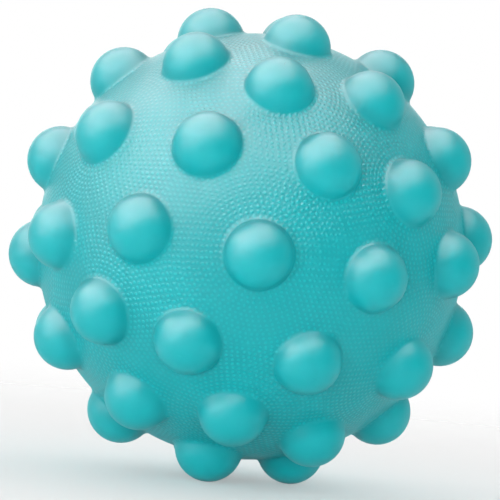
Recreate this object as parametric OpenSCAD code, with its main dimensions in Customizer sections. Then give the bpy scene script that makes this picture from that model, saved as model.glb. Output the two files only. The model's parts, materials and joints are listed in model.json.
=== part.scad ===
// Hollow soft ball with round knobs all over, an inflating valve and its stopper.
// The origin is the ball's centre. The ball stands on three of its knobs, with +Z up.
// +Y runs through the centre, from the knob at the front to the knob at the back.

/* [Skin] */
// Outer diameter of the skin between the knobs
core_d = 88; // [84:1:100]
// Thickness of the skin, in the knobs too
skin_wall = 2; // [1.4:0.1:2.6]

/* [Knobs] */
// Diameter of a knob
knob_d = 14; // [12:0.5:15]
// Depth of a knob's own centre under the outer face of the skin
knob_sink = 1; // [0.4:0.1:1.6]
// How far the flare round a knob's foot spreads on the skin
flare_spread = 1; // [0.5:0.1:1.4]
// How far the flare round a knob's foot climbs up the knob
flare_rise = 1.2; // [0.8:0.1:1.6]
// Latitude of the knobs next to the middle ring, in degrees
near_lat = 14; // [13:0.2:15]
// Latitude of the knobs in line with the middle ring's knobs, in degrees
line_lat = 30.4; // [29.4:0.2:31.4]
// Latitude of the knobs above the ones next to the middle ring, in degrees
high_lat = 40.4; // [39.4:0.2:41.4]
// Latitude of the knobs round each pole, in degrees
polar_lat = 60.4; // [59.4:0.2:61.4]

/* [Valve socket] */
// Diameter of the socket's barrel, and of the hole in the skin that holds it
barrel_d = 10; // [9.4:0.1:10.6]
// Length of the barrel from the outer face of the skin
barrel_l = 14; // [12:0.5:16]
// Diameter of the flange welded to the inside of the skin
flange_d = 16; // [14:0.5:16]
// Thickness of the flange
flange_t = 1.5; // [1:0.1:2]
// Depth of the mouth that the stopper's head lies in
mouth_depth = 2.8; // [2.6:0.1:3.4]
// Diameter of the mouth at the outer face of the skin
mouth_d = 8.4; // [7.6:0.1:8.8]

/* [Needle valve] */
// Diameter of the rubber valve body in the socket
valve_d = 6.6; // [6.2:0.1:7]
// Diameter of the rib that locks the valve body in the socket
rib_d = 8; // [7.6:0.1:8.4]
// Width of the locking rib along the valve
rib_w = 2; // [1.5:0.1:2.5]
// Length of the valve body from the floor of the mouth
valve_l = 17; // [16:0.5:20]
// Diameter of the inner tip, where the lips of the slit close
tip_d = 4.2; // [3.8:0.1:4.8]
// Length of the closed lips past the end of the needle channel
lips_l = 2; // [1.5:0.1:3]
// Diameter of the needle channel
channel_d = 2; // [1.8:0.1:2.2]

/* [Stopper] */
// Diameter of the spigot that plugs the valve
spigot_d = 3.2; // [3:0.1:3.4]
// Length of the spigot
spigot_l = 4; // [3:0.1:5]
// Thickness of the stopper's head
head_t = 1.3; // [1:0.1:1.5]
// Length of the grip across the head
grip_l = 4.8; // [4:0.1:5.2]
// Height of the grip across the head
grip_h = 0.8; // [0.6:0.1:1]
// Thickness of the grip across the head
grip_t = 1; // [0.8:0.1:1.2]

/* [Fits] */
// Radial clearance of the spigot in the valve
spigot_gap = 0.05; // [0.03:0.01:0.08]
// Radial clearance of the head in the mouth
head_gap = 0.2; // [0.1:0.05:0.3]
// Gap under the head, and under the end of the spigot
seat_gap = 0.1; // [0.05:0.05:0.2]

/* [Hidden] */

// Knobs in each ring, the angle between them and half of it
ring_count = 6;
ring_step = 360 / ring_count;
half_step = ring_step / 2;
// Longitude of the front knob, which faces -Y, and of the back knob
front_lon = -90;
back_lon = front_lon + 180;
// Overrun of a cut or a cone past the face that it leaves
over = 0.5;

// Radii, and levels along any line out of the ball's centre
core_r = core_d / 2;
inner_r = core_r - skin_wall;
knob_r = knob_d / 2;
hollow_r = knob_r - skin_wall;
knob_level = core_r - knob_sink;
barrel_end = core_r - barrel_l;
mouth_floor = core_r - mouth_depth;
valve_end = mouth_floor - valve_l;
channel_end = valve_end + lips_l;
rib_level = (barrel_end + mouth_floor) / 2;
head_r = valve_d / 2 - head_gap;
head_level = mouth_floor + seat_gap;
head_top = head_level + head_t;
spigot_end = head_level - spigot_l;
spigot_seat = spigot_end - seat_gap;

// The flare is a cone from the skin to the knob, measured from the knob's own centre
flare_foot_r = sqrt(knob_r ^ 2 - knob_sink ^ 2) + flare_spread;
flare_foot_h = sqrt(core_r ^ 2 - flare_foot_r ^ 2) - knob_level;
flare_top_h = knob_sink + flare_rise;
flare_top_r = sqrt(knob_r ^ 2 - flare_top_h ^ 2);
flare_slope = (flare_foot_r - flare_top_r) / (flare_top_h - flare_foot_h);

// The rings of one half of the ball, each with its latitude and its turn from the front knob
half_rings = [
    [near_lat, half_step],
    [line_lat, 0],
    [high_lat, half_step],
    [polar_lat, 0]
];

// Lift of the pole line above +X when the ball stands on three knobs:
// two of the ring round the lower pole, and the knob of the next ring between them
pole_lift = atan2(
    cos(high_lat) - cos(half_step) * cos(polar_lat),
    sin(polar_lat) - sin(high_lat)
);

// Unit vector at a latitude and longitude of the knob pattern
function direction(lat, lon) = [cos(lat) * cos(lon), cos(lat) * sin(lon), sin(lat)];

// The valve lies in the middle of the gap between three knobs at the back
gap_a = direction(0, back_lon);
gap_b = direction(near_lat, back_lon + half_step);
gap_c = direction(line_lat, back_lon);
gap_normal = cross(gap_b - gap_a, gap_c - gap_a);
valve_line = gap_normal / norm(gap_normal);
valve_lat = asin(valve_line.z);
valve_lon = atan2(valve_line.y, valve_line.x);

// Facets round the skin, round a knob and round the valve's pieces
core_fn = 180;
knob_fn = 64;
valve_fn = 64;

// Turns the knob pattern, whose poles lie on Z, to the way that the ball stands
module standing() {
    rotate([0, 90 - pole_lift, 0]) children();
}

// Puts its children on the line out of the centre at a latitude and longitude, +Z outward
module outward(lat, lon, level) {
    rotate([0, 0, lon]) rotate([0, 90 - lat, 0]) translate([0, 0, level]) children();
}

// Repeats its children at the centre of every knob
module every_knob() {
    for (side = [-1, 1]) {
        outward(side * 90, 0, knob_level) children();
        for (ring = half_rings, k = [0 : ring_count - 1])
            outward(side * ring[0], front_lon + ring[1] + k * ring_step, knob_level) children();
    }
    for (k = [0 : ring_count - 1])
        outward(0, front_lon + k * ring_step, knob_level) children();
}

// Puts its children on the valve's line, measured from the ball's centre, +Z outward
module on_valve_line() {
    standing() outward(valve_lat, valve_lon, 0) children();
}

// A rod or a cone on the valve's line between two levels
module valve_rod(d, from, to, end_d = undef) {
    translate([0, 0, from])
        cylinder(d1 = d, d2 = is_undef(end_d) ? d : end_d, h = to - from, $fn = valve_fn);
}

// The skin as far out as a radius, without its knobs
module core_ball(r) {
    sphere(r = r, $fn = core_fn);
}

// One knob as a ball, with the flare round its foot
module knob_form() {
    sphere(r = knob_r, $fn = knob_fn);
    translate([0, 0, flare_foot_h - over])
        cylinder(
            r1 = flare_foot_r + flare_slope * over,
            r2 = flare_top_r - flare_slope * over,
            h = flare_top_h - flare_foot_h + 2 * over,
            $fn = knob_fn
        );
}

// One moulding: the skin and its hollow knobs, with a hole for the valve socket
module ball_shell() {
    color([0.2, 0.72, 0.74]) difference() {
        standing() difference() {
            union() {
                core_ball(core_r);
                every_knob() knob_form();
            }
            core_ball(inner_r);
            every_knob() sphere(r = hollow_r, $fn = knob_fn);
        }
        on_valve_line() valve_rod(barrel_d, barrel_end, core_r + over);
    }
}

// A barrel flush with the skin, and a flange that follows the inside of the skin
module valve_socket() {
    color([0.17, 0.62, 0.66]) on_valve_line() difference() {
        union() {
            intersection() {
                core_ball(core_r);
                valve_rod(barrel_d, barrel_end, core_r + over);
            }
            difference() {
                intersection() {
                    core_ball(inner_r);
                    valve_rod(flange_d, barrel_end, core_r);
                }
                core_ball(inner_r - flange_t);
            }
        }
        valve_rod(valve_d, barrel_end - over, core_r + over);
        valve_rod(rib_d, rib_level - rib_w / 2, rib_level + rib_w / 2);
        valve_rod(valve_d, head_top, core_r, mouth_d);
    }
}

// A rubber body with its locking rib, needle channel, closed lips and the spigot's seat
module needle_valve() {
    color([0.9, 0.9, 0.86]) on_valve_line() difference() {
        union() {
            valve_rod(valve_d, barrel_end, mouth_floor);
            valve_rod(rib_d, rib_level - rib_w / 2, rib_level + rib_w / 2);
            valve_rod(tip_d, valve_end, barrel_end, valve_d);
        }
        valve_rod(channel_d, channel_end, mouth_floor);
        valve_rod(spigot_d + 2 * spigot_gap, spigot_seat, mouth_floor + over);
    }
}

// A head with a grip across it, and the spigot that plugs the needle valve
module valve_stopper() {
    color([0.94, 0.94, 0.92]) on_valve_line() {
        valve_rod(spigot_d, spigot_end, head_level);
        valve_rod(2 * head_r, head_level, head_top);
        translate([-grip_l / 2, -grip_t / 2, head_level])
            cube([grip_l, grip_t, head_t + grip_h]);
    }
}

ball_shell();
valve_socket();
needle_valve();
valve_stopper();
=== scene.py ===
"""A soft hollow ball covered with round knobs, its inflating valve and stopper, on a studio floor."""
import json
import math

import bmesh
import bpy
from bpy.props import FloatProperty, FloatVectorProperty, IntProperty, PointerProperty
from mathutils import Matrix, Vector


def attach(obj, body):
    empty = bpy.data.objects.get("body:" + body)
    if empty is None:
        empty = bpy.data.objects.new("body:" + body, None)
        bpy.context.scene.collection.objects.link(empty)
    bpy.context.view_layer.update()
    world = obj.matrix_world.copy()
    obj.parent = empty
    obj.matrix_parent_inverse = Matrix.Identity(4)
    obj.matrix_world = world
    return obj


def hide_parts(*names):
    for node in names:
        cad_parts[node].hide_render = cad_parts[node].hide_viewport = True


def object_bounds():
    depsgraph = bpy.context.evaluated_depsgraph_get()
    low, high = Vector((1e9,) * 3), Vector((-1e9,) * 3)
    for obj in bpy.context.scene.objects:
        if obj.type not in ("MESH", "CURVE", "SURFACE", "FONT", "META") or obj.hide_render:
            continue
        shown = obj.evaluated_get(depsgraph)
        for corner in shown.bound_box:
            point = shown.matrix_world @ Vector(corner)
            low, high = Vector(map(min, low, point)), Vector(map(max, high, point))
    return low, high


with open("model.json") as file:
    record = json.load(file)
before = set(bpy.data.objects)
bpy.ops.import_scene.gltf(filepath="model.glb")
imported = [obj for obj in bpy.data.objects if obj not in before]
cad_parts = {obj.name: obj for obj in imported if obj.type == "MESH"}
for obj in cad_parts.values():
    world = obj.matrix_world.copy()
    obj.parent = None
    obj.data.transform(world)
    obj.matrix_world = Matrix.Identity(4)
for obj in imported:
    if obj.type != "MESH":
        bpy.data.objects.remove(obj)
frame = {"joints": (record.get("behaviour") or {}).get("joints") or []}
CAD_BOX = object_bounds()
VALVE_LINE = Vector(frame["joints"][0]["axis"]).normalized()

bl_info = {
    "name": "Knobbed Sensory Ball",
    "version": (1, 0, 0),
    "blender": (4, 5, 0),
    "location": "3D View > Sidebar > Sensory Ball",
    "description": "Models a soft knobbed ball with its valve and stopper, and lights it",
    "category": "Object",
}

MM = 0.001
RING_COUNT = 6
ROUND_STEPS = 96
LIP_STEPS = 2
GRIP_EDGE_STEPS = 5
SHARP_EDGE = math.radians(42)

# Distances within which points are merged, count as on a cell's face or count as on a cut
MERGE_CELLS = 0.02 * MM
MERGE_SPUN = 0.001 * MM
ON_FACE = 0.002 * MM
ON_CUT = 1e-7
# Width of a new inset, before its points are put in place
INSET_WIDTH = 0.02 * MM


def length(name, default, description):
    """A property for one length in metres."""
    return FloatProperty(
        name=name, description=description, default=default,
        min=0.0, precision=5, unit="LENGTH",
    )


def angle(name, degrees, description):
    """A property for one angle, whose default is given in degrees."""
    return FloatProperty(
        name=name, description=description, default=math.radians(degrees), subtype="ANGLE",
    )


def colour(name, default, description):
    """A property for one linear colour."""
    return FloatVectorProperty(
        name=name, description=description, default=default,
        size=3, min=0.0, max=1.0, subtype="COLOR",
    )


def share(name, default, description):
    """A property for one number from nothing to all."""
    return FloatProperty(
        name=name, description=description, default=default, min=0.0, max=1.0, subtype="FACTOR",
    )


def light(name, default, description):
    """A property for the strength of one light."""
    return FloatProperty(name=name, description=description, default=default, min=0.0)


class SkinSizes(bpy.types.PropertyGroup):
    """Sizes of the skin and of the knobs moulded in it."""

    core_diameter: length("Core diameter", 88 * MM, "Outer diameter of the skin between the knobs")
    wall: length("Wall", 2 * MM, "Thickness of the skin, in the knobs too")
    knob_diameter: length("Knob diameter", 14 * MM, "Diameter of a knob")
    knob_sink: length("Knob sink", 1 * MM, "Depth of a knob's own centre under the skin")
    foot_radius: length("Foot radius", 1.2 * MM, "Radius of the hollow curve round a knob's foot")
    near_lat: angle("Near latitude", 14.0, "Latitude of the knobs next to the middle ring")
    line_lat: angle("Line latitude", 30.4, "Latitude of the knobs in line with the middle ring's")
    high_lat: angle("High latitude", 40.4, "Latitude of the knobs above the near ones")
    polar_lat: angle("Polar latitude", 60.4, "Latitude of the knobs round each pole")
    valve_hole: length("Valve hole", 10 * MM, "Diameter of the hole in the skin for the valve")
    hole_rounding: length("Hole rounding", 0.3 * MM, "Radius of the skin's edge round the valve")
    spoke_gap: length("Spoke gap", 1.95 * MM, "Distance between the mesh's spokes between two knobs")
    skin_loops: IntProperty(
        name="Skin loops", description="Mesh loops from between two knobs to a knob's foot",
        default=4, min=1,
    )
    foot_loops: IntProperty(
        name="Foot loops", description="Mesh loops in the curve at a knob's foot", default=5, min=2,
    )
    dome_loops: IntProperty(
        name="Dome loops", description="Mesh loops from a knob's foot to its tip", default=9, min=3,
    )


class ValveSizes(bpy.types.PropertyGroup):
    """Sizes of the valve socket, the needle valve and its stopper."""

    barrel_diameter: length("Barrel diameter", 10 * MM, "Diameter of the socket's barrel")
    barrel_length: length("Barrel length", 14 * MM, "Length of the barrel from the skin's outer face")
    flange_diameter: length("Flange diameter", 16 * MM, "Diameter of the flange inside the skin")
    flange_thickness: length("Flange thickness", 1.5 * MM, "Thickness of the flange")
    mouth_depth: length("Mouth depth", 2.8 * MM, "Depth of the mouth that holds the stopper's head")
    mouth_diameter: length("Mouth diameter", 8.4 * MM, "Diameter of the mouth at the skin")
    body_diameter: length("Body diameter", 6.6 * MM, "Diameter of the rubber valve body")
    rib_diameter: length("Rib diameter", 8 * MM, "Diameter of the rib that locks the valve body")
    rib_width: length("Rib width", 2 * MM, "Width of the locking rib")
    body_length: length("Body length", 17 * MM, "Length of the valve body")
    tip_diameter: length("Tip diameter", 4.2 * MM, "Diameter of the valve body's inner tip")
    lips: length("Lips", 2 * MM, "Length of the closed lips at the inner tip")
    channel_diameter: length("Channel diameter", 2 * MM, "Diameter of the needle channel")
    spigot_diameter: length("Spigot diameter", 3.2 * MM, "Diameter of the stopper's spigot")
    spigot_length: length("Spigot length", 4 * MM, "Length of the stopper's spigot")
    spigot_gap: length("Spigot gap", 0.05 * MM, "Clearance round the spigot")
    head_thickness: length("Head thickness", 1.3 * MM, "Thickness of the stopper's head")
    head_gap: length("Head gap", 0.2 * MM, "Clearance round the head")
    seat_gap: length("Seat gap", 0.1 * MM, "Gap under the head and under the spigot")
    grip_length: length("Grip length", 4.8 * MM, "Length of the grip across the head")
    grip_height: length("Grip height", 0.8 * MM, "Height of the grip above the head")
    grip_thickness: length("Grip thickness", 1 * MM, "Thickness of the grip")
    rounding: length("Rounding", 0.3 * MM, "Radius of the moulded pieces' edges")


class DotSizes(bpy.types.PropertyGroup):
    """Sizes of the rows of small raised dots between the knobs."""

    pitch: length("Row pitch", 0.95 * MM, "Distance from one row of dots to the next")
    relief: length("Relief", 0.10 * MM, "Height of a dot")
    across: share("Dot width", 0.72, "Width of a dot as a share of the row pitch")
    waver: length("Waver", 0.40 * MM, "Width of the band in which the rows wander")
    scatter: length("Scatter", 0.42 * MM, "Width of the band in which the parts of a dot wander")


class Finish(bpy.types.PropertyGroup):
    """Colours and gloss of the ball's materials."""

    # The skin between the knobs is a little darker than the knobs: painted shade between the knobs
    vinyl: colour("Vinyl", (0.0, 0.375, 0.405), "Colour of the skin between the knobs")
    vinyl_knob: colour("Knob vinyl", (0.0, 0.395, 0.425), "Colour of the smooth knobs")
    # Lighter colour on the tops of the dots: painted highlight
    dot_top_highlight: colour("Raised vinyl", (0.0, 0.445, 0.475), "Colour of the tops of the dots")
    socket: colour("Socket vinyl", (0.0, 0.355, 0.385), "Colour of the valve socket")
    rubber: colour("Valve rubber", (0.62, 0.58, 0.47), "Colour of the needle valve")
    stopper: colour("Stopper", (0.76, 0.77, 0.74), "Colour of the stopper")
    satin: share("Satin", 0.46, "Roughness of the skin and its knobs")
    socket_satin: share("Socket satin", 0.45, "Roughness of the valve socket")
    rubber_satin: share("Rubber satin", 0.62, "Roughness of the needle valve")
    stopper_satin: share("Stopper satin", 0.50, "Roughness of the stopper")


class Studio(bpy.types.PropertyGroup):
    """The camera and the light round the ball."""

    camera_turn: angle("Camera turn", -2.3, "Turn of the camera round the ball from the front")
    camera_lift: angle("Camera lift", 2.0, "Angle of the camera above the ball's centre")
    camera_roll: angle("Camera roll", 5.05, "Lean of the camera")
    camera_distance: length("Camera distance", 0.86, "Distance from the camera to the ball's centre")
    focal_length: FloatProperty(
        name="Focal length", description="Focal length of the camera in millimetres",
        default=299.7, min=1.0, unit="CAMERA",
    )
    shift_right: FloatProperty(
        name="Shift right", description="Shift of the lens to the right, as a share of the picture",
        default=-0.0016, precision=4,
    )
    shift_up: FloatProperty(
        name="Shift up", description="Shift of the lens upwards, as a share of the picture",
        default=-0.0072, precision=4,
    )
    floor_radius: length("Floor radius", 1.6, "Radius of the studio floor")
    fade_start: length("Fade start", 0.06, "Distance from the centre at which the floor starts to fade")
    fade_end: length("Fade end", 0.34, "Distance from the centre at which the floor can't be seen")
    tent_reach: length("Tent reach", 0.9, "Distance from the ball's centre to a wall of even light")
    fill_over: light("Fill over", 0.36, "Radiance of the even light from overhead and behind")
    fill_left: light("Fill left", 0.54, "Radiance of the even light from the left")
    fill_right: light("Fill right", 0.76, "Radiance of the even light from the right and in front")
    room: light("Room", 0.0, "Strength of the surroundings in front of the ball")
    behind: light("Behind", 0.6, "Strength of the surroundings behind the ball")
    haze: light("Haze", 5.8, "Radiance of the wide soft light overhead that only gloss shows")
    haze_left: light("Haze left", 2.9, "Radiance of the soft light at the left that only gloss shows")
    low_front: light("Low front", 8.4, "Radiance of the low soft light in front")
    low_left: light("Low left", 3.2, "Radiance of the low soft light at the left")
    low_back: light("Low back", 2.0, "Radiance of the low soft light behind the ball")


class BallSettings(bpy.types.PropertyGroup):
    """All the settings of the ball and its studio."""

    skin: PointerProperty(type=SkinSizes)
    valve: PointerProperty(type=ValveSizes)
    dots: PointerProperty(type=DotSizes)
    finish: PointerProperty(type=Finish)
    studio: PointerProperty(type=Studio)


# Directions and outlines


def standing(sizes):
    """The turn from the knob pattern, with its poles on Z, to the way that the ball stands."""
    half = math.pi / RING_COUNT
    lift = math.atan2(
        math.cos(sizes.high_lat) - math.cos(half) * math.cos(sizes.polar_lat),
        math.sin(sizes.polar_lat) - math.sin(sizes.high_lat),
    )
    return math.pi / 2 - lift


def pattern_direction(lat, lon):
    """Unit vector at a latitude and longitude of the knob pattern."""
    return Vector((
        math.cos(lat) * math.cos(lon),
        math.cos(lat) * math.sin(lon),
        math.sin(lat),
    ))


def knob_lines(sizes):
    """Unit vectors out of the ball's centre through every knob, the ball standing."""
    front, step = -math.pi / 2, 2 * math.pi / RING_COUNT
    rings = [(0.0, 0.0)]
    for side in (-1, 1):
        rings += [
            (side * sizes.near_lat, step / 2),
            (side * sizes.line_lat, 0.0),
            (side * sizes.high_lat, step / 2),
            (side * sizes.polar_lat, 0.0),
        ]
    found = [pattern_direction(side * math.pi / 2, 0.0) for side in (-1, 1)]
    for lat, turn in rings:
        found += [pattern_direction(lat, front + turn + k * step) for k in range(RING_COUNT)]
    stand = Matrix.Rotation(standing(sizes), 3, "Y")
    return [stand @ line for line in found]


def arc(middle, start, end, steps):
    """Points on a circle, from middle + start to middle + end."""
    sweep = start.angle(end)
    return [
        middle
        + start * (math.sin((1 - i / steps) * sweep) / math.sin(sweep))
        + end * (math.sin(i / steps * sweep) / math.sin(sweep))
        for i in range(steps + 1)
    ]


def rounded(corners, steps=4):
    """An outline through corners given as (distance off the line, level, rounding)."""
    outline = []
    for i, (off, level, radius) in enumerate(corners):
        here = Vector((off, level))
        if not radius:
            outline.append(here)
            continue
        before = (Vector(corners[i - 1][:2]) - here).normalized()
        after = (Vector(corners[(i + 1) % len(corners)][:2]) - here).normalized()
        half = before.angle(after) / 2
        reach = radius / math.tan(half)
        middle = here + (before + after).normalized() * radius / math.sin(half)
        outline += arc(middle, here + before * reach - middle, here + after * reach - middle, steps)
    return outline


def on_ball(radius, off):
    """The level at which a ball about the centre is this far off the line."""
    return math.sqrt(radius ** 2 - off ** 2)


def knob_outline(sizes):
    """The foot circle's angle, the loops above it as (distance off the line, level), the tip's level."""
    core, knob, foot = sizes.core_diameter / 2, sizes.knob_diameter / 2, sizes.foot_radius
    level = core - sizes.knob_sink
    # The centre of the foot's curve lies a foot radius outside the skin and outside the knob
    middle_level = ((core + foot) ** 2 - (knob + foot) ** 2 + level ** 2) / (2 * level)
    middle = Vector((math.sqrt((core + foot) ** 2 - middle_level ** 2), middle_level))
    to_skin = -middle.normalized()
    to_knob = (Vector((0.0, level)) - middle).normalized()
    outline = arc(middle, foot * to_skin, foot * to_knob, sizes.foot_loops)
    last = outline[-1]
    top = math.atan2(last.x, last.y - level)
    for i in range(1, sizes.dome_loops + 1):
        turn = top * (1 - i / (sizes.dome_loops + 1))
        outline.append(Vector((knob * math.sin(turn), level + knob * math.cos(turn))))
    foot_angle = math.atan2(outline[0].x, outline[0].y)
    return foot_angle, outline[1:], level + knob


# Small helpers for modelling


def deselect_objects():
    """Leaves no object selected."""
    for item in list(bpy.context.selected_objects):
        item.select_set(False)


def pick(piece):
    """Makes one object the only selected one and the active one."""
    deselect_objects()
    piece.select_set(True)
    bpy.context.view_layer.objects.active = piece


def edit(piece, mode="FACE"):
    """Opens a piece in edit mode with nothing selected."""
    pick(piece)
    bpy.ops.object.mode_set(mode="EDIT")
    bpy.ops.mesh.select_mode(type=mode)
    bpy.ops.mesh.select_all(action="DESELECT")


def done():
    """Leaves edit mode."""
    bpy.ops.object.mode_set(mode="OBJECT")


def added(name):
    """Names the object that an operator has just added."""
    piece = bpy.context.active_object
    piece.name = name
    piece.data.name = name
    return piece


def apply_modifier(piece, kind, **values):
    """Adds a modifier to a piece and applies it."""
    pick(piece)
    bpy.ops.object.modifier_add(type=kind)
    modifier = piece.modifiers[-1]
    for key, value in values.items():
        setattr(modifier, key, value)
    bpy.ops.object.modifier_apply(modifier=modifier.name)


def smooth(piece):
    """Shades a piece smooth except over its sharp edges."""
    pick(piece)
    bpy.ops.object.shade_smooth_by_angle(angle=SHARP_EDGE)


def off_line(point, line):
    """The part of a point's place that is square to a line."""
    return point - line * point.dot(line)


def spoke_end(vertex, face):
    """The vertex outside a face that an inset has joined to one of the face's own."""
    for link in vertex.link_edges:
        if face not in link.link_faces:
            return link.other_vert(vertex)
    raise RuntimeError("a loop of the skin has no spoke")


# The skin


def cut_cells(piece, planes):
    """Cuts a cube down to one flat face square to each line, each at its own level."""
    edit(piece)
    for line, level in planes:
        bpy.ops.mesh.select_all(action="SELECT")
        bpy.ops.mesh.bisect(
            plane_co=line * level, plane_no=line, use_fill=True, clear_outer=True, threshold=ON_CUT,
        )
    bpy.ops.mesh.select_all(action="SELECT")
    bpy.ops.mesh.remove_doubles(threshold=MERGE_CELLS)
    done()


def divide_edges(piece, gap):
    """Leaves only the cells' edges and divides each into steps of about one gap."""
    edit(piece, "EDGE")
    bpy.ops.mesh.select_all(action="SELECT")
    bpy.ops.mesh.delete(type="ONLY_FACE")
    mesh = bmesh.from_edit_mesh(piece.data)
    longest = max(link.calc_length() for link in mesh.edges)
    for steps in range(round(longest / gap), 1, -1):
        mesh = bmesh.from_edit_mesh(piece.data)
        for link in mesh.edges:
            link.select_set(round(link.calc_length() / gap) == steps)
        if any(link.select for link in mesh.edges):
            bmesh.update_edit_mesh(piece.data)
            bpy.ops.mesh.subdivide(number_cuts=steps - 1)
            bpy.ops.mesh.select_all(action="DESELECT")
    done()


def fill_cells(piece, planes, radius):
    """Fills each cell with one face and rounds all the corners out to the ball."""
    edit(piece, "VERT")
    for line, level in planes:
        mesh = bmesh.from_edit_mesh(piece.data)
        for vertex in mesh.verts:
            vertex.select_set(abs(vertex.co.dot(line) - level) < ON_FACE)
        mesh.select_flush_mode()
        bmesh.update_edit_mesh(piece.data)
        bpy.ops.mesh.edge_face_add()
        bpy.ops.mesh.select_all(action="DESELECT")
    mesh = bmesh.from_edit_mesh(piece.data)
    for vertex in mesh.verts:
        vertex.co = vertex.co.normalized() * radius
    bpy.ops.mesh.select_all(action="SELECT")
    bpy.ops.mesh.normals_make_consistent(inside=False)
    done()


def nearest_line(lines, direction):
    """The number of the line that lies closest to a direction."""
    return max(range(len(lines)), key=lambda n: lines[n].dot(direction))


def add_loop(piece, lines, place):
    """Insets every selected cell and puts the new loop where place(number, outward, spoke) says."""
    bpy.ops.mesh.inset(thickness=INSET_WIDTH, depth=0.0, use_individual=True)
    mesh = bmesh.from_edit_mesh(piece.data)
    for face in [f for f in mesh.faces if f.select]:
        middle = face.calc_center_median().normalized()
        number = nearest_line(lines, middle)
        moved = []
        for vertex in face.verts:
            outer = spoke_end(vertex, face)
            outward = off_line(outer.co, lines[number]).normalized()
            moved.append((vertex, place(number, outward, outer.co)))
        for vertex, spot in moved:
            vertex.co = spot
    bmesh.update_edit_mesh(piece.data)


def raise_knobs(piece, lines, sizes):
    """Draws each cell in to its knob's foot and up to its tip, and the valve's cell in to its hole."""
    radius = sizes.core_diameter / 2
    valve = len(lines) - 1
    foot_angle, outline, tip = knob_outline(sizes)
    hole, lip = sizes.valve_hole / 2, sizes.hole_rounding
    hole_angle = math.asin((hole + lip) / radius)
    edit(piece)
    bpy.ops.mesh.select_all(action="SELECT")
    for loop in range(sizes.skin_loops):
        left = sizes.skin_loops - loop

        def along_skin(number, outward, spoke):
            goal = hole_angle if number == valve else foot_angle
            here = spoke.angle(lines[number])
            turn = here + (goal - here) / left
            return radius * (math.sin(turn) * outward + math.cos(turn) * lines[number])

        add_loop(piece, lines, along_skin)
    select_cells(piece, lines, [valve])
    for step in range(1, LIP_STEPS + 1):
        bend = step / LIP_STEPS * math.pi / 2

        def round_lip(number, outward, spoke):
            off = hole + lip * (1 - math.sin(bend))
            level = on_ball(radius, off) - lip * (1 - math.cos(bend))
            return off * outward + level * lines[number]

        add_loop(piece, lines, round_lip)
    bpy.ops.mesh.delete(type="FACE")
    select_cells(piece, lines, range(valve))
    for off, level in outline:

        def up_knob(number, outward, spoke):
            return off * outward + level * lines[number]

        add_loop(piece, lines, up_knob)
    bpy.ops.mesh.poke()
    mesh = bmesh.from_edit_mesh(piece.data)
    for line in lines[:valve]:
        nearest = max(mesh.verts, key=lambda v: v.co.dot(line))
        nearest.co = line * tip
    done()


def select_cells(piece, lines, numbers):
    """Selects the many-sided faces in the middle of the cells with these numbers."""
    bpy.ops.mesh.select_all(action="DESELECT")
    mesh = bmesh.from_edit_mesh(piece.data)
    wanted = set(numbers)
    for face in mesh.faces:
        if len(face.verts) > 4:
            middle = face.calc_center_median().normalized()
            face.select_set(nearest_line(lines, middle) in wanted)
    bmesh.update_edit_mesh(piece.data)


def straighten_hole(piece, line, sizes):
    """Makes the hole's inner edge as wide as its outer edge, so that the valve socket fits."""
    inner = sizes.core_diameter / 2 - sizes.wall
    for vertex in piece.data.vertices:
        off = off_line(vertex.co, line)
        near = off.length < sizes.valve_hole / 2 and vertex.co.dot(line) > 0
        if near and abs(vertex.co.length - inner) < sizes.wall / 2:
            off = off.normalized() * sizes.valve_hole / 2
            vertex.co = off + line * math.sqrt(inner ** 2 - off.length_squared)


def model_skin(sizes):
    """The skin with all its knobs, as one closed moulding with a hole for the valve."""
    radius = sizes.core_diameter / 2
    knobs = knob_lines(sizes)
    foot_angle = knob_outline(sizes)[0]
    nearest = min(VALVE_LINE.angle(line) for line in knobs)
    hole_angle = math.asin(sizes.valve_hole / 2 / radius)
    # The cells of the valve and of its neighbours meet midway between the hole and the feet
    meet = (nearest + hole_angle - foot_angle) / 2
    valve_level = radius * math.cos(meet) / math.cos(nearest - meet)
    planes = [(line, radius) for line in knobs] + [(VALVE_LINE, valve_level)]
    deselect_objects()
    bpy.ops.mesh.primitive_cube_add(size=2 * sizes.core_diameter)
    piece = added("skin_with_knobs")
    cut_cells(piece, planes)
    divide_edges(piece, sizes.spoke_gap)
    fill_cells(piece, planes, radius)
    raise_knobs(piece, knobs + [VALVE_LINE], sizes)
    apply_modifier(
        piece, "SOLIDIFY", thickness=sizes.wall, offset=-1.0,
        use_even_offset=True, use_quality_normals=True,
    )
    straighten_hole(piece, VALVE_LINE, sizes)
    smooth(piece)
    return piece


# The valve


def valve_frame(skin):
    """The turn from the upright to the valve's line, with the stopper's grip along X."""
    stand = Matrix.Rotation(standing(skin), 3, "Y")
    line = stand.transposed() @ VALVE_LINE
    lat, lon = math.asin(line.z), math.atan2(line.y, line.x)
    return stand @ Matrix.Rotation(lon, 3, "Z") @ Matrix.Rotation(math.pi / 2 - lat, 3, "Y")


def turned(name, outline, frame_turn, closed):
    """A round piece, spun about the valve's line from an outline of (distance off the line, level)."""
    side, line = frame_turn.col[0], frame_turn.col[2]
    deselect_objects()
    bpy.ops.mesh.primitive_circle_add(vertices=len(outline), radius=MM)
    piece = added(name)
    edit(piece, "VERT")
    mesh = bmesh.from_edit_mesh(piece.data)
    mesh.verts.ensure_lookup_table()
    for vertex, (off, level) in zip(mesh.verts, outline):
        vertex.co = side * off + line * level
    if not closed:
        mesh.verts[0].select_set(True)
        mesh.verts[-1].select_set(True)
        mesh.select_flush(True)
        bpy.ops.mesh.select_mode(type="EDGE")
        bpy.ops.mesh.delete(type="EDGE")
    bpy.ops.mesh.select_all(action="SELECT")
    bpy.ops.mesh.spin(steps=ROUND_STEPS, angle=2 * math.pi, center=(0.0, 0.0, 0.0), axis=line)
    bpy.ops.mesh.select_all(action="SELECT")
    bpy.ops.mesh.remove_doubles(threshold=MERGE_SPUN)
    bpy.ops.mesh.normals_make_consistent(inside=False)
    done()
    return piece


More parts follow.
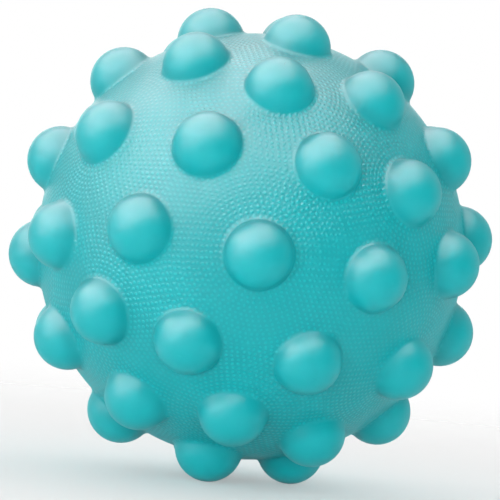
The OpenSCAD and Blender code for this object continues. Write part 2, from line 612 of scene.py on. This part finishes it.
def model_socket(skin, valve):
    """The socket: a barrel flush with the skin, a flange inside it and the stopper's mouth."""
    outer, inner = skin.core_diameter / 2, skin.core_diameter / 2 - skin.wall
    under = inner - valve.flange_thickness
    barrel, flange = valve.barrel_diameter / 2, valve.flange_diameter / 2
    bore, rib = valve.body_diameter / 2, valve.rib_diameter / 2
    low, floor = outer - valve.barrel_length, outer - valve.mouth_depth
    groove_low = (low + floor - valve.rib_width) / 2
    groove_high = groove_low + valve.rib_width
    between = (barrel + flange) / 2
    lip = floor + valve.seat_gap + valve.head_thickness
    # The mouth widens from the lip to the outer face
    rim = bore + (valve.mouth_diameter / 2 - bore) * (on_ball(outer, bore) - lip) / (outer - lip)
    soft = valve.rounding
    corners = [
        (bore, low, soft), (barrel, low, soft),
        (barrel, on_ball(under, barrel), soft),
        (between, on_ball(under, between), 0),
        (flange, on_ball(under, flange), soft),
        (flange, on_ball(inner, flange), soft),
        (between, on_ball(inner, between), 0),
        (barrel, on_ball(inner, barrel), 0),
        (barrel, on_ball(outer, barrel), soft),
        (rim, on_ball(outer, rim), soft),
        (bore, lip, 0),
        (bore, groove_high, 0), (rib, groove_high, 0), (rib, groove_low, 0), (bore, groove_low, 0),
    ]
    piece = turned("moulded_socket", rounded(corners), valve_frame(skin), closed=True)
    smooth(piece)
    return piece


def model_needle_valve(skin, valve):
    """The rubber valve body: its rib, the spigot's seat, the needle channel and the closed lips."""
    outer = skin.core_diameter / 2
    bore, rib = valve.body_diameter / 2, valve.rib_diameter / 2
    low, top = outer - valve.barrel_length, outer - valve.mouth_depth
    end = top - valve.body_length
    rib_low = (low + top - valve.rib_width) / 2
    rib_high = rib_low + valve.rib_width
    seat = valve.spigot_diameter / 2 + valve.spigot_gap
    seat_end = top - valve.spigot_length
    channel = valve.channel_diameter / 2
    soft = valve.rounding
    corners = [
        (0, end, 0), (valve.tip_diameter / 2, end, 2 * soft), (bore, low, 0),
        (bore, rib_low, 0), (rib, rib_low, 0), (rib, rib_high, 0), (bore, rib_high, 0),
        (bore, top, soft), (seat, top, soft), (seat, seat_end, 0),
        (channel, seat_end, soft), (channel, end + valve.lips, 0), (0, end + valve.lips, 0),
    ]
    piece = turned("rubber_needle_valve", rounded(corners), valve_frame(skin), closed=False)
    smooth(piece)
    return piece


def model_stopper(skin, valve):
    """The stopper: a spigot, a round head and a rounded grip across it."""
    head_level = skin.core_diameter / 2 - valve.mouth_depth + valve.seat_gap
    head_top = head_level + valve.head_thickness
    head, spigot = valve.body_diameter / 2 - valve.head_gap, valve.spigot_diameter / 2
    soft = valve.rounding
    corners = [
        (0, head_level - valve.spigot_length, 0),
        (spigot, head_level - valve.spigot_length, 2 * soft),
        (spigot, head_level, soft / 2), (head, head_level, soft), (head, head_top, soft),
        (0, head_top, 0),
    ]
    turn = valve_frame(skin)
    piece = turned("pull_stopper", rounded(corners), turn, closed=False)
    sunk = valve.head_thickness / 2
    deselect_objects()
    bpy.ops.mesh.primitive_cube_add(size=1)
    grip = added("grip")
    edit(grip)
    bpy.ops.mesh.select_all(action="SELECT")
    bpy.ops.transform.resize(
        value=(valve.grip_length, valve.grip_thickness, valve.grip_height + sunk),
    )
    bpy.ops.transform.translate(value=(0, 0, head_top + (valve.grip_height - sunk) / 2))
    done()
    apply_modifier(
        grip, "BEVEL", width=1.5 * soft, segments=GRIP_EDGE_STEPS, limit_method="NONE",
        use_clamp_overlap=True,
    )
    grip.data.transform(turn.to_4x4())
    apply_modifier(piece, "BOOLEAN", operation="UNION", solver="EXACT", object=grip)
    bpy.data.objects.remove(grip)
    smooth(piece)
    return piece


# Materials

# Room that a node is given, and how many rows the nodes are set out in
NODE_WIDTH, NODE_HEIGHT = 180, 160
NODE_ROWS = 3
# Size of the vinyl's grain, and of the slow changes of its colour on the skin and on a small piece
GRAIN_SIZE = 0.35 * MM
SKIN_DRIFT = 18 * MM
SMALL_DRIFT = 6 * MM
# Patches of more and less gloss in one slow change of colour
GLOSS_PATCHES = 4.0
# Detail and roughness of the fine noise, and detail of the slow one and of a wandering place
FINE_DETAIL, FINE_ROUGHNESS = 3.0, 0.6
SLOW_DETAIL = 2.0
WANDER_DETAIL = 1.0
# Noise values between which a colour or a gloss changes
NOISE_LOW, NOISE_HIGH = 0.3, 0.7
# How the grain shows: the deepest colour as a share of the full one, the roughness lost and gained
# where the gloss changes, and the strength and height of the relief
SKIN_GRAIN = {
    "deep": 0.90, "less": 0.04, "more": 0.05, "strength": 0.5, "height": 0.012 * MM,
}
PLAIN_GRAIN = {
    "deep": 0.86, "less": 0.05, "more": 0.06, "strength": 0.6, "height": 0.015 * MM,
}
SKIN_VINYL = {
    "IOR": 1.5, "Specular IOR Level": 0.6, "Specular Tint": (0.95, 0.92, 0.97, 1.0),
    "Subsurface Weight": 0.5, "Subsurface Radius": (0.3, 1.0, 1.0), "Subsurface Scale": 2.5 * MM,
}
PLAIN_VINYL = {
    "Specular IOR Level": 0.3, "Subsurface Weight": 0.15, "Subsurface Radius": (1.0, 0.9, 0.8),
    "Subsurface Scale": 0.8 * MM,
}
FLOOR_PAINT = {"Base Color": (0.92, 0.92, 0.92, 1.0), "Roughness": 0.9, "Specular IOR Level": 0.1}

# Dots that each ring has more than the ring inside it
DOTS_PER_RING = 5.0
# How far off its middle a dot begins to rise and its flat top begins, as shares of its width
DOT_EDGE_SHARE, DOT_TOP_SHARE = 0.62, 0.22
# Distances over which the rows waver and over which the parts of a dot wander
WAVER_LENGTH, SCATTER_LENGTH = 9 * MM, 1.1 * MM
# Heights over the skin up to which the dots are whole and at which they have ended
DOTS_WHOLE, DOTS_ENDED = 0.08 * MM, 0.45 * MM
# Heights over the skin at which a knob's lighter colour begins and at which it is full; below them the
# skin keeps a darker colour, painted shade between the knobs
KNOB_BEGUN, KNOB_FULL = 0.80 * MM, 3.40 * MM
# Scale of the patches of worn dots, the noise values of worn and whole, and the relief of a worn dot
WEAR_SCALE = 45.0
WORN, UNWORN = 0.34, 0.58
WORN_SHARE = 0.45


class Board:
    """Adds nodes to a tree from left to right and links them."""

    def __init__(self, tree):
        self.tree = tree
        self.column = 0

    def add(self, kind, inputs=None, **settings):
        """Adds a node with its settings and feeds its inputs by name or number."""
        node = self.tree.nodes.new(kind)
        node.location = (NODE_WIDTH * self.column, -NODE_HEIGHT * (self.column % NODE_ROWS))
        self.column += 1
        for key, value in settings.items():
            setattr(node, key, value)
        for key, value in (inputs or {}).items():
            self.feed(node.inputs[key], value)
        return node

    def feed(self, socket, value):
        """Links another node's result to a socket, or sets the socket to a value."""
        if isinstance(value, bpy.types.NodeSocket):
            self.tree.links.new(value, socket)
        else:
            socket.default_value = value

    def math(self, operation, *values):
        """Works out one number."""
        node = self.add("ShaderNodeMath", operation=operation, inputs=dict(enumerate(values)))
        return node.outputs[0]

    def vector(self, operation, *values):
        """Works out a vector, or the one number that the operation gives."""
        node = self.add("ShaderNodeVectorMath", operation=operation, inputs=dict(enumerate(values)))
        name = "Value" if operation in ("DOT_PRODUCT", "LENGTH") else "Vector"
        return node.outputs[name]

    def ramp(self, value, start, end, low=0.0, high=1.0):
        """Turns a value smoothly from low, at start, to high, at end."""
        node = self.add(
            "ShaderNodeMapRange", interpolation_type="SMOOTHSTEP",
            inputs={"Value": value, "From Min": start, "From Max": end, "To Min": low, "To Max": high},
        )
        return node.outputs["Result"]

    def noise(self, vector, scale, detail, roughness=0.5):
        """A random value that changes smoothly from place to place."""
        node = self.add(
            "ShaderNodeTexNoise",
            inputs={"Vector": vector, "Scale": scale, "Detail": detail, "Roughness": roughness},
        )
        return node.outputs["Fac"]

    def wander(self, vector, scale, distance):
        """Moves a place by up to about half a distance, at random but smoothly."""
        drift = self.add(
            "ShaderNodeTexNoise", inputs={"Vector": vector, "Scale": scale, "Detail": WANDER_DETAIL},
        ).outputs["Color"]
        drift = self.vector("SUBTRACT", drift, (0.5, 0.5, 0.5))
        return self.vector("MULTIPLY_ADD", drift, (distance,) * 3, vector)

    def choose(self, factor, first, second):
        """The first number where the factor is 0 and the second where it is 1."""
        node = self.add("ShaderNodeMix", data_type="FLOAT", inputs={0: factor, 2: first, 3: second})
        return node.outputs[0]

    def blend_colours(self, factor, first, second):
        """The first colour where the factor is 0 and the second where it is 1."""
        node = self.add("ShaderNodeMix", data_type="RGBA")
        self.feed(node.inputs["Factor"], factor)
        colours = [s for s in node.inputs if s.type == "RGBA"]
        self.feed(colours[0], first)
        self.feed(colours[1], second)
        return [s for s in node.outputs if s.type == "RGBA"][0]

    def group(self, tree, **inputs):
        """Places a node group; underscores in the names stand for spaces."""
        node = self.add("ShaderNodeGroup", node_tree=tree)
        for key, value in inputs.items():
            self.feed(node.inputs[key.replace("_", " ")], value)
        return node.outputs


def new_group(name, inputs, outputs):
    """An empty node group with named inputs, some with a default, and named outputs."""
    tree = bpy.data.node_groups.new(name, "ShaderNodeTree")
    kinds = {"vector": "NodeSocketVector", "value": "NodeSocketFloat"}
    for label, kind, default in inputs:
        socket = tree.interface.new_socket(label, in_out="INPUT", socket_type=kinds[kind])
        if default is not None:
            socket.default_value = default
    for label, kind in outputs:
        tree.interface.new_socket(label, in_out="OUTPUT", socket_type=kinds[kind])
    board = Board(tree)
    entry = board.add("NodeGroupInput").outputs
    return tree, board, entry


def close_group(board, **outputs):
    """Links the results of a node group to its outputs."""
    end = board.add("NodeGroupOutput")
    for key, value in outputs.items():
        board.feed(end.inputs[key.replace("_", " ")], value)


def dots_round_a_point():
    """Rings of dots round one point of the ball, the dots of each ring between those of the last."""
    tree, board, entry = new_group(
        "Rings Of Dots Round A Point",
        [
            ("Direction", "vector", None), ("Middle", "vector", None),
            ("East", "vector", None), ("North", "vector", None),
            ("Radius In Pitches", "value", None), ("Dot Width", "value", None),
            ("Even Share", "value", None),
        ],
        [("Closeness", "value"), ("Dots", "value")],
    )
    closeness = board.vector("DOT_PRODUCT", entry["Direction"], entry["Middle"])
    away = board.math("ARCCOSINE", board.math("MINIMUM", closeness, 1.0))
    rows = board.math("MULTIPLY", away, entry["Radius In Pitches"])
    row = board.math("ROUND", rows)
    off_row = board.math("SUBTRACT", rows, row)
    east = board.vector("DOT_PRODUCT", entry["Direction"], entry["East"])
    north = board.vector("DOT_PRODUCT", entry["Direction"], entry["North"])
    turn = board.math("DIVIDE", board.math("ARCTAN2", north, east), 2 * math.pi)
    # The dots of a ring are made a whole multiple of the even share
    wanted = board.math("DIVIDE", board.math("MULTIPLY", row, DOTS_PER_RING), entry["Even Share"])
    count = board.math("MULTIPLY", board.math("ROUND", wanted), entry["Even Share"])
    count = board.math("MAXIMUM", count, entry["Even Share"])
    stagger = board.math("FRACT", board.math("MULTIPLY", row, 0.5))
    step = board.math("MULTIPLY_ADD", turn, count, stagger)
    off_step = board.math("SUBTRACT", step, board.math("ROUND", step))
    round_row = board.math("MULTIPLY", board.math("SINE", away), 2 * math.pi)
    round_row = board.math("MULTIPLY", round_row, entry["Radius In Pitches"])
    along = board.math("MULTIPLY", off_step, board.math("DIVIDE", round_row, count))
    square = board.math("MULTIPLY_ADD", along, along, board.math("MULTIPLY", off_row, off_row))
    apart = board.math("SQRT", square)
    edge = board.math("MULTIPLY", entry["Dot Width"], DOT_EDGE_SHARE)
    top = board.math("MULTIPLY", entry["Dot Width"], DOT_TOP_SHARE)
    dots = board.ramp(apart, edge, top)
    close_group(board, Closeness=closeness, Dots=dots)
    return tree


def moulded_dots(sizes, dots):
    """Rows of dots round the twenty points that the moulded pattern is drawn from."""
    tree, board, entry = new_group(
        "Moulded Dots",
        [
            ("Place", "vector", None), ("Pitch", "value", dots.pitch),
            ("Dot Width", "value", dots.across),
        ],
        [("Dots", "value"), ("Knob", "value")],
    )
    radius = sizes.core_diameter / 2
    rings = dots_round_a_point()
    # The rows waver a little, and no two dots are quite alike
    wavy = board.wander(entry["Place"], 1 / WAVER_LENGTH, dots.waver)
    uneven = board.wander(wavy, 1 / SCATTER_LENGTH, dots.scatter)
    upright = board.add(
        "ShaderNodeMapping", vector_type="POINT",
        inputs={"Vector": uneven, "Rotation": (0.0, -standing(sizes), 0.0)},
    ).outputs["Vector"]
    reach = board.vector("LENGTH", entry["Place"])
    parts = board.add(
        "ShaderNodeSeparateXYZ", inputs={"Vector": board.vector("NORMALIZE", upright)}
    ).outputs
    # The pattern is the same in every sixth of the ball and on both sides of each line of symmetry
    sixth = 2 * math.pi / RING_COUNT
    turn = board.math("DIVIDE", board.math("ARCTAN2", parts["Y"], parts["X"]), sixth)
    folded = board.math("SUBTRACT", board.math("FRACT", board.math("ADD", turn, 0.5)), 0.5)
    folded = board.math("MULTIPLY", board.math("ABSOLUTE", folded), sixth)
    height = board.math("ABSOLUTE", parts["Z"])
    level = board.math("SQRT", board.math("SUBTRACT", 1.0, board.math("MULTIPLY", height, height)))
    direction = board.add("ShaderNodeCombineXYZ", inputs={
        "X": board.math("MULTIPLY", level, board.math("COSINE", folded)),
        "Y": board.math("MULTIPLY", level, board.math("SINE", folded)),
        "Z": height,
    }).outputs["Vector"]
    pitches = board.math("DIVIDE", radius, entry["Pitch"])
    # The latitude, longitude and even share of a point on the middle ring, a high one and a pole
    points = [
        (0.0, sixth / 2, 2.0),
        (sizes.high_lat, 0.0, 2.0),
        (math.pi / 2, -math.pi / 2, 6.0),
    ]
    found = []
    for lat, lon, even in points:
        rows = board.group(
            rings, Direction=direction, Middle=pattern_direction(lat, lon),
            East=pattern_direction(0.0, lon + math.pi / 2),
            North=pattern_direction(lat + math.pi / 2, lon),
            Radius_In_Pitches=pitches, Dot_Width=entry["Dot Width"], Even_Share=even,
        )
        found.append((rows["Closeness"], rows["Dots"]))
    best, mask = found[0]
    for closeness, rows in found[1:]:
        nearer = board.math("GREATER_THAN", closeness, best)
        mask = board.choose(nearer, mask, rows)
        best = board.math("MAXIMUM", best, closeness)
    skin = board.ramp(reach, radius + DOTS_ENDED, radius + DOTS_WHOLE)
    # How far up a knob a point lies: the skin below is coloured darker, as painted shade between the
    # knobs
    knob = board.ramp(reach, radius + KNOB_BEGUN, radius + KNOB_FULL)
    worn = board.noise(entry["Place"], WEAR_SCALE, SLOW_DETAIL)
    strength = board.ramp(worn, WORN, UNWORN, WORN_SHARE, 1.0)
    dots_out = board.math("MULTIPLY", board.math("MULTIPLY", mask, skin), strength)
    close_group(board, Dots=dots_out, Knob=knob)
    return tree


def vinyl_grain():
    """Fine grain of soft moulded plastic, and slow changes of its colour and gloss, built once."""
    built = bpy.data.node_groups.get("Vinyl Grain")
    if built:
        return built
    tree, board, entry = new_group(
        "Vinyl Grain",
        [
            ("Place", "vector", None), ("Grain Size", "value", GRAIN_SIZE),
            ("Drift Size", "value", SKIN_DRIFT),
        ],
        [("Grain", "value"), ("Drift", "value"), ("Gloss", "value")],
    )
    fine_scale = board.math("DIVIDE", 1.0, entry["Grain Size"])
    slow_scale = board.math("DIVIDE", 1.0, entry["Drift Size"])
    gloss_scale = board.math("DIVIDE", GLOSS_PATCHES, entry["Drift Size"])
    fine = board.noise(entry["Place"], fine_scale, FINE_DETAIL, FINE_ROUGHNESS)
    slow = board.noise(entry["Place"], slow_scale, SLOW_DETAIL)
    gloss = board.noise(entry["Place"], gloss_scale, FINE_DETAIL, FINE_ROUGHNESS)
    close_group(board, Grain=fine, Drift=slow, Gloss=gloss)
    return tree


def new_material(name):
    """An empty material with a surface shader, its board and its place on the piece."""
    material = bpy.data.materials.new(name)
    material.use_nodes = True
    material.node_tree.nodes.clear()
    board = Board(material.node_tree)
    place = board.add("ShaderNodeTexCoord").outputs["Object"]
    return material, board, place


def close_material(board, shader):
    """Links the surface shader to the material's output."""
    end = board.add("ShaderNodeOutputMaterial")
    board.feed(end.inputs["Surface"], shader.outputs[0])


def opaque(values):
    """A colour with full cover."""
    return (*values, 1.0)


def grained(board, place, drift_size, tint, roughness, look):
    """The changing colour and gloss of moulded plastic, and the relief of its grain."""
    grain = board.group(vinyl_grain(), Place=place, Drift_Size=drift_size)
    deep = opaque([look["deep"] * c for c in tint])
    drift = board.ramp(grain["Drift"], NOISE_LOW, NOISE_HIGH)
    body = board.blend_colours(drift, deep, opaque(tint))
    gloss = board.ramp(
        grain["Gloss"], NOISE_LOW, NOISE_HIGH, roughness - look["less"], roughness + look["more"],
    )
    relief = board.add("ShaderNodeBump", inputs={
        "Strength": look["strength"], "Distance": look["height"], "Height": grain["Grain"],
    }).outputs[0]
    return body, gloss, relief


def skin_material(settings):
    """Satin vinyl, with rows of raised dots on the skin and smooth knobs, painted shade between the
    knobs and painted highlights on the dot tops.
    """
    finish, dots = settings.finish, settings.dots
    dots_tree = moulded_dots(settings.skin, dots)
    material, board, place = new_material("Soft Vinyl Skin")
    rows = board.group(dots_tree, Place=place, Pitch=dots.pitch, Dot_Width=dots.across)
    body, gloss, fine = grained(board, place, SKIN_DRIFT, finish.vinyl, finish.satin, SKIN_GRAIN)
    # The skin stays darker than the knobs: painted shade between the knobs
    body = board.blend_colours(rows["Knob"], body, opaque(finish.vinyl_knob))
    # Lighter dot tops: painted highlight on the dots
    body = board.blend_colours(rows["Dots"], body, opaque(finish.dot_top_highlight))
    relief = board.add("ShaderNodeBump", inputs={
        "Strength": 1.0, "Distance": dots.relief, "Height": rows["Dots"], "Normal": fine,
    }).outputs[0]
    shader = board.add("ShaderNodeBsdfPrincipled", inputs={
        "Base Color": body, "Roughness": gloss, "Normal": relief, **SKIN_VINYL,
    })
    close_material(board, shader)
    return material


def plain_vinyl(name, tint, roughness):
    """A moulded plastic or rubber of one colour, with its grain."""
    material, board, place = new_material(name)
    body, gloss, fine = grained(board, place, SMALL_DRIFT, tint, roughness, PLAIN_GRAIN)
    shader = board.add("ShaderNodeBsdfPrincipled", inputs={
        "Base Color": body, "Roughness": gloss, "Normal": fine, **PLAIN_VINYL,
    })
    close_material(board, shader)
    return material


def give_material(piece, material):
    """Makes one material the only one on a piece."""
    piece.data.materials.clear()
    piece.data.materials.append(material)


# The studio

# How far the floor is see-through right under the ball
CLEAR_SHARE = 0.3
# How far towards the back, from -1 to 1, the surroundings begin to brighten and are full
ROOM_BEGUN, ROOM_FULL = -0.2, 0.4
# Width of the camera's sensor in millimetres, and the nearest that the camera sees
SENSOR_WIDTH = 36.0
CLIP_START = 0.05
# Name, place, size and setting of each softbox, and whether it lights the colour and the gloss
SOFTBOXES = (
    ("haze_softbox", (-0.18, -0.08, 0.60), (1.45, 1.30), "haze", False, True),
    ("haze_left_softbox", (-0.75, -0.45, 0.35), (0.90, 0.80), "haze_left", False, True),
    ("low_front_softbox", (-0.14, -0.70, 0.03), (0.90, 0.14), "low_front", True, False),
    ("low_left_softbox", (-0.72, -0.25, 0.05), (0.60, 0.18), "low_left", True, True),
    ("low_back_softbox", (-0.10, 0.85, 0.20), (0.80, 0.40), "low_back", True, True),
)


def add_floor(studio):
    """A pale floor that the ball stands on, which fades into the white surroundings."""
    deselect_objects()
    low = Vector(CAD_BOX[0]).z
    bpy.ops.mesh.primitive_circle_add(
        vertices=ROUND_STEPS, radius=studio.floor_radius, fill_type="NGON", location=(0.0, 0.0, low),
    )
    floor = added("studio_floor")
    material, board, place = new_material("Pale Floor")
    paint = board.add("ShaderNodeBsdfPrincipled", inputs=FLOOR_PAINT)
    clear = board.add("ShaderNodeBsdfTransparent")
    rays = board.add("ShaderNodeLightPath").outputs
    # The light that the floor throws back on the ball doesn't fade
    seen = board.math("ADD", rays["Is Camera Ray"], rays["Is Glossy Ray"])
    distance = board.vector("LENGTH", place)
    far = board.ramp(distance, studio.fade_start, studio.fade_end, CLEAR_SHARE, 1.0)
    mix = board.add("ShaderNodeMixShader")
    board.feed(mix.inputs[0], board.math("MULTIPLY", seen, far))
    board.feed(mix.inputs[1], paint.outputs[0])
    board.feed(mix.inputs[2], clear.outputs[0])
    close_material(board, mix)
    give_material(floor, material)


def add_softbox(name, place, size, radiance, diffuse, glossy):
    """A soft rectangular light that faces the ball, and lights its colour, its gloss or both."""
    deselect_objects()
    turn = Vector(place).to_track_quat("Z", "Y").to_euler()
    bpy.ops.object.light_add(type="AREA", location=place, rotation=turn)
    lamp = added(name)
    lamp.data.shape = "RECTANGLE"
    lamp.data.size, lamp.data.size_y = size
    lamp.data.energy = radiance * math.pi * size[0] * size[1]
    lamp.visible_camera = False
    lamp.visible_diffuse = diffuse
    lamp.visible_glossy = glossy
    # Otherwise rays sent out for the colour bring a light into the gloss too, and the other way round
    lamp.data.cycles.use_multiple_importance_sampling = diffuse and glossy


def add_lights(studio):
    """The five walls of an even tent round the ball, which only its colour sees, and the softboxes."""
    reach = studio.tent_reach
    wall = (2 * reach, 2 * reach)
    for name, place, radiance in (
        ("fill_above", (0.0, 0.0, reach), studio.fill_over),
        ("fill_behind", (0.0, reach, 0.0), studio.fill_over),
        ("fill_left", (-reach, 0.0, 0.0), studio.fill_left),
        ("fill_right", (reach, 0.0, 0.0), studio.fill_right),
        ("fill_front", (0.0, -reach, 0.0), studio.fill_right),
    ):
        add_softbox(name, place, wall, radiance, diffuse=True, glossy=False)
    for name, place, size, setting, diffuse, glossy in SOFTBOXES:
        add_softbox(name, place, size, getattr(studio, setting), diffuse, glossy)


def light_surroundings(scene, studio):
    """A white background for the camera, and surroundings that are dark in front of the ball."""
    world = bpy.data.worlds.new("White Surroundings")
    world.use_nodes = True
    world.node_tree.nodes.clear()
    board = Board(world.node_tree)
    rays = board.add("ShaderNodeLightPath").outputs
    direction = board.add("ShaderNodeTexCoord").outputs["Generated"]
    backwards = board.vector("DOT_PRODUCT", direction, (0.0, 1.0, 0.0))
    behind = board.ramp(backwards, ROOM_BEGUN, ROOM_FULL)
    room = board.ramp(behind, 0.0, 1.0, studio.room, studio.behind)
    level = board.choose(rays["Is Camera Ray"], room, 1.0)
    sky = board.add("ShaderNodeBackground", inputs={"Color": (1.0, 1.0, 1.0, 1.0), "Strength": level})
    end = board.add("ShaderNodeOutputWorld")
    board.feed(end.inputs["Surface"], sky.outputs[0])
    scene.world = world


def add_camera(scene, studio):
    """A long lens in front of the ball, leaning a little, as in the photograph."""
    turn = -math.pi / 2 + studio.camera_turn
    back = Vector((
        math.cos(studio.camera_lift) * math.cos(turn),
        math.cos(studio.camera_lift) * math.sin(turn),
        math.sin(studio.camera_lift),
    ))
    level_right = Vector((0.0, 0.0, 1.0)).cross(back).normalized()
    level_up = back.cross(level_right)
    lean_cos, lean_sin = math.cos(studio.camera_roll), math.sin(studio.camera_roll)
    right = lean_cos * level_right + lean_sin * level_up
    up = lean_cos * level_up - lean_sin * level_right
    pose = Matrix((right, up, back)).transposed().to_euler()
    deselect_objects()
    bpy.ops.object.camera_add(location=back * studio.camera_distance, rotation=pose)
    camera = added("photo_camera")
    camera.data.sensor_width = SENSOR_WIDTH
    camera.data.lens = studio.focal_length
    camera.data.shift_x = studio.shift_right
    camera.data.shift_y = studio.shift_up
    camera.data.clip_start = CLIP_START
    scene.camera = camera


# Operators


class BALL_OT_skin(bpy.types.Operator):
    """Model the skin with its knobs and give it its dotted vinyl"""

    bl_idname = "ball.skin"
    bl_label = "Skin and Knobs"
    bl_options = {"REGISTER", "UNDO"}

    def execute(self, context):
        settings = context.scene.sensory_ball
        piece = model_skin(settings.skin)
        give_material(piece, skin_material(settings))
        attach(piece, "ball")
        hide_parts("ball_shell")
        return {"FINISHED"}


class BALL_OT_socket(bpy.types.Operator):
    """Model the valve socket that is welded into the skin"""

    bl_idname = "ball.socket"
    bl_label = "Valve Socket"
    bl_options = {"REGISTER", "UNDO"}

    def execute(self, context):
        settings = context.scene.sensory_ball
        piece = model_socket(settings.skin, settings.valve)
        finish = settings.finish
        give_material(piece, plain_vinyl("Socket Vinyl", finish.socket, finish.socket_satin))
        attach(piece, "ball")
        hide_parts("valve_socket")
        return {"FINISHED"}


class BALL_OT_needle_valve(bpy.types.Operator):
    """Model the rubber valve body that the inflating needle goes through"""

    bl_idname = "ball.needle_valve"
    bl_label = "Needle Valve"
    bl_options = {"REGISTER", "UNDO"}

    def execute(self, context):
        settings = context.scene.sensory_ball
        piece = model_needle_valve(settings.skin, settings.valve)
        finish = settings.finish
        give_material(piece, plain_vinyl("Valve Rubber", finish.rubber, finish.rubber_satin))
        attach(piece, "ball")
        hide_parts("needle_valve")
        return {"FINISHED"}


class BALL_OT_stopper(bpy.types.Operator):
    """Model the stopper that is pulled out to inflate the ball"""

    bl_idname = "ball.stopper"
    bl_label = "Stopper"
    bl_options = {"REGISTER", "UNDO"}

    def execute(self, context):
        settings = context.scene.sensory_ball
        piece = model_stopper(settings.skin, settings.valve)
        finish = settings.finish
        give_material(piece, plain_vinyl("Stopper Vinyl", finish.stopper, finish.stopper_satin))
        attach(piece, "stopper")
        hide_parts("valve_stopper")
        return {"FINISHED"}


class BALL_OT_studio(bpy.types.Operator):
    """Set the floor, the soft lights, the white surroundings and the camera"""

    bl_idname = "ball.studio"
    bl_label = "Studio"
    bl_options = {"REGISTER", "UNDO"}

    def execute(self, context):
        studio = context.scene.sensory_ball.studio
        add_floor(studio)
        add_lights(studio)
        light_surroundings(context.scene, studio)
        add_camera(context.scene, studio)
        context.scene.view_settings.view_transform = "Standard"
        return {"FINISHED"}


OPERATORS = (
    BALL_OT_skin, BALL_OT_socket, BALL_OT_needle_valve, BALL_OT_stopper, BALL_OT_studio,
)


class BALL_PT_panel(bpy.types.Panel):
    """The ball's sizes and finishes, and the buttons that make it"""

    bl_idname = "BALL_PT_panel"
    bl_label = "Sensory Ball"
    bl_space_type = "VIEW_3D"
    bl_region_type = "UI"
    bl_category = "Sensory Ball"

    def draw(self, context):
        settings = context.scene.sensory_ball
        for title, part in (
            ("Skin", settings.skin), ("Valve", settings.valve), ("Dots", settings.dots),
            ("Finish", settings.finish), ("Studio", settings.studio),
        ):
            box = self.layout.box()
            box.label(text=title)
            for key in part.__annotations__:
                box.prop(part, key)
        for operator in OPERATORS:
            self.layout.operator(operator.bl_idname)


CLASSES = (
    SkinSizes, ValveSizes, DotSizes, Finish, Studio, BallSettings, *OPERATORS, BALL_PT_panel,
)


def register():
    for item in CLASSES:
        bpy.utils.register_class(item)
    bpy.types.Scene.sensory_ball = PointerProperty(type=BallSettings)


def unregister():
    del bpy.types.Scene.sensory_ball
    for item in reversed(CLASSES):
        bpy.utils.unregister_class(item)


def main():
    register()
    bpy.ops.ball.skin()
    bpy.ops.ball.socket()
    bpy.ops.ball.needle_valve()
    bpy.ops.ball.stopper()
    bpy.ops.ball.studio()


if __name__ == "__main__":
    main()
